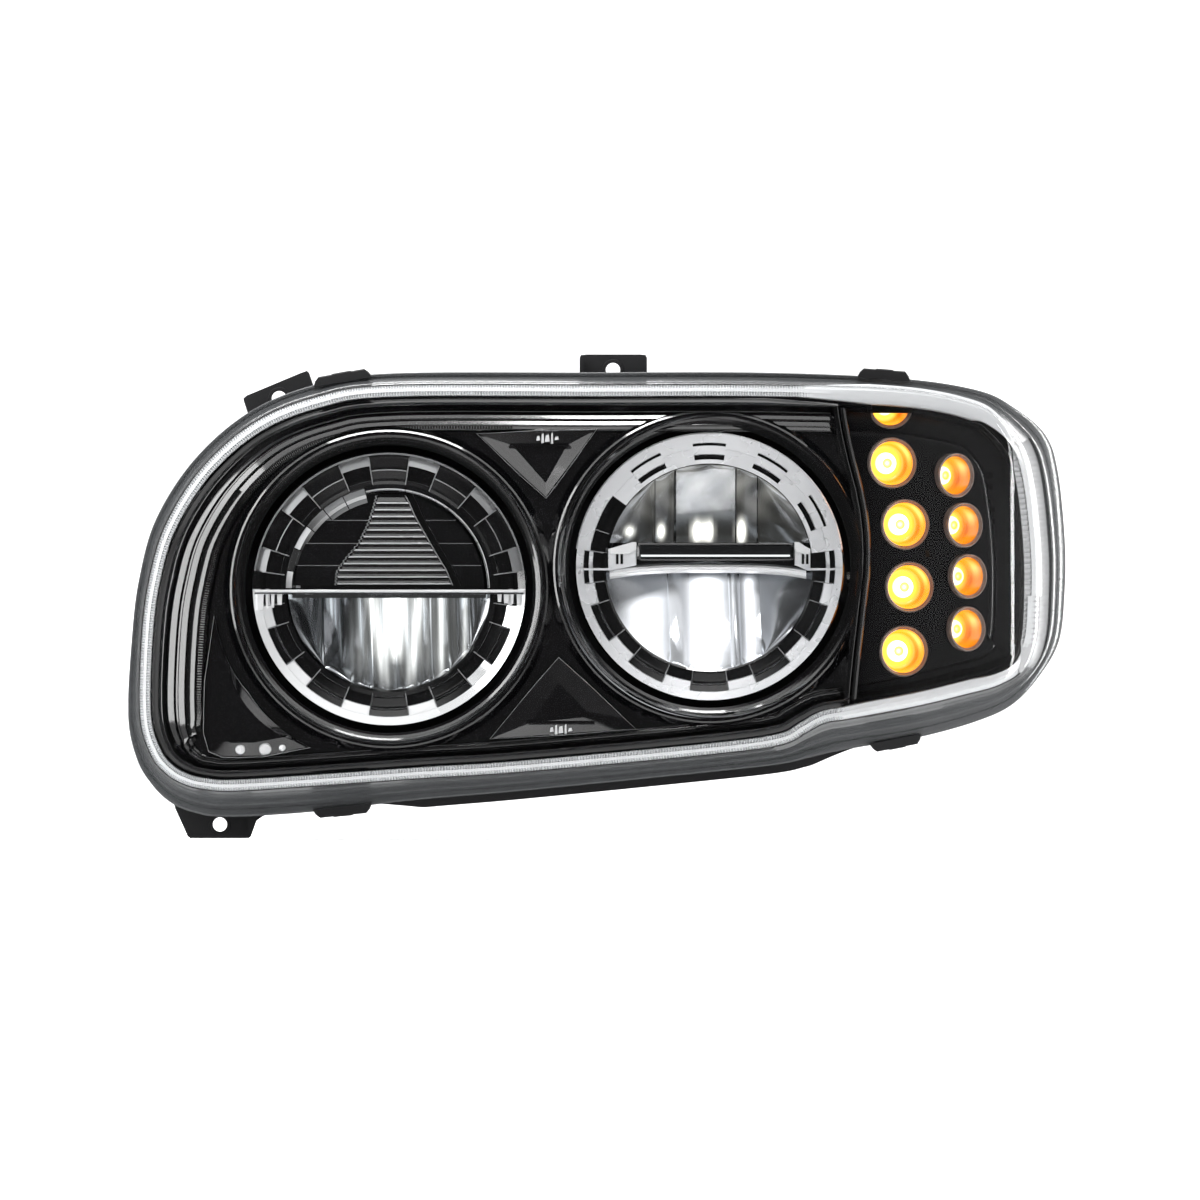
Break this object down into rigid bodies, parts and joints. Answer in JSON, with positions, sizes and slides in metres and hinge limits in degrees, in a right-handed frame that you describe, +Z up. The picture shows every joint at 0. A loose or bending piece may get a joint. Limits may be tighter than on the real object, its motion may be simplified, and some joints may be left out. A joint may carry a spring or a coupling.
{
  "type": "car headlight assembly",
  "caption": "Left-hand LED headlight with low and high beam lamps, a wrap-round amber turn signal, a clear lens and a vertical aim adjuster.",
  "frame": {"origin": "centre of the lamp's overall box", "axes": "+X outboard, +Y rearwards along the lamps' axes, +Z up; the lens faces -Y"},
  "size_m": [0.6601, 0.25, 0.34],
  "materials": {
    "clear_lens": "clear hard-coated polycarbonate",
    "gloss_black": "piano black",
    "matte_black": "fine moulded texture",
    "bright_plating": "bright vacuum plating on plastic",
    "amber_optic": "clear amber, lit",
    "circuit_board": "solder mask",
    "cast_alloy": "as cast",
    "plated_steel": "zinc plated",
    "seal_rubber": "matt",
    "nylon": "natural"
  },
  "bodies": {
    "lamp_housing": {"lens": "clear_lens", "main_bezel": "gloss_black", "turn_bezel": "gloss_black", "housing": "matte_black", "rear_cover": "matte_black", "connector_inlet": "matte_black", "breather_vent": "matte_black", "adjuster_housing": "matte_black", "lens_clip_1": "matte_black", "lens_clip_2": "matte_black", "lens_clip_3": "matte_black", "lens_clip_4": "matte_black", "turn_reflector": "bright_plating", "turn_optic_1": "amber_optic", "turn_optic_2": "amber_optic", "turn_optic_3": "amber_optic", "turn_optic_4": "amber_optic", "turn_optic_5": "amber_optic", "turn_optic_6": "amber_optic", "turn_optic_7": "amber_optic", "turn_optic_8": "amber_optic", "turn_optic_9": "amber_optic", "turn_board": "circuit_board", "led_driver": "cast_alloy", "rear_cover_screw_1": "plated_steel", "rear_cover_screw_2": "plated_steel", "rear_cover_screw_3": "plated_steel", "rear_cover_screw_4": "plated_steel", "driver_screw_1": "plated_steel", "driver_screw_2": "plated_steel", "driver_screw_3": "plated_steel", "driver_screw_4": "plated_steel", "lens_seal": "seal_rubber", "rear_cover_seal": "seal_rubber", "driver_seal": "seal_rubber", "connector_seal": "seal_rubber", "turn_lead": "seal_rubber", "driver_lead": "seal_rubber", "pivot_tower_left": "nylon", "pivot_tower_right": "nylon"},
    "lamp_carrier": {"aim_carrier": "nylon", "low_ring": "bright_plating", "low_reflector": "bright_plating", "low_upper_block": "gloss_black", "low_divider": "bright_plating", "low_led_board": "circuit_board", "low_heatsink": "cast_alloy", "high_ring": "bright_plating", "high_upper_reflector": "bright_plating", "high_lower_reflector": "bright_plating", "high_light_bar": "gloss_black", "high_led_board": "circuit_board", "high_heatsink": "cast_alloy", "pivot_ball_left": "plated_steel", "pivot_ball_right": "plated_steel", "aim_socket": "nylon", "carrier_lead": "seal_rubber"},
    "adjuster_stud": {"adjuster_stud": "plated_steel"},
    "adjuster_gear": {"adjuster_gear": "nylon"},
    "adjuster_drive": {"adjuster_drive": "plated_steel"}
  },
  "joints": [
    {"name": "aim_tilt", "type": "hinge", "parent": "lamp_housing", "child": "lamp_carrier", "pos_m": [-0.039, -0.02, 0.012], "axis": [1, 0, 0], "range_deg": [-2.5, 2.5]},
    {"name": "stud_slide", "type": "slide", "parent": "lamp_housing", "child": "adjuster_stud", "axis": [0, 1, 0], "range_m": [-0.0042, 0.0042]},
    {"name": "gear_spin", "type": "hinge", "parent": "lamp_housing", "child": "adjuster_gear", "pos_m": [-0.034, 0.093, -0.08], "axis": [0, 1, 0], "range_deg": [-730, 730]},
    {"name": "drive_spin", "type": "hinge", "parent": "lamp_housing", "child": "adjuster_drive", "pos_m": [-0.034, 0.106, -0.0725], "axis": [0, 0, 1], "range_deg": [-1460, 1460]}
  ],
  "couplings": [
    {"joint": "stud_slide", "follows": "aim_tilt", "m_per_rad": 0.092},
    {"joint": "gear_spin", "follows": "aim_tilt", "ratio": 289.03},
    {"joint": "drive_spin", "follows": "aim_tilt", "ratio": 578.06}
  ]
}
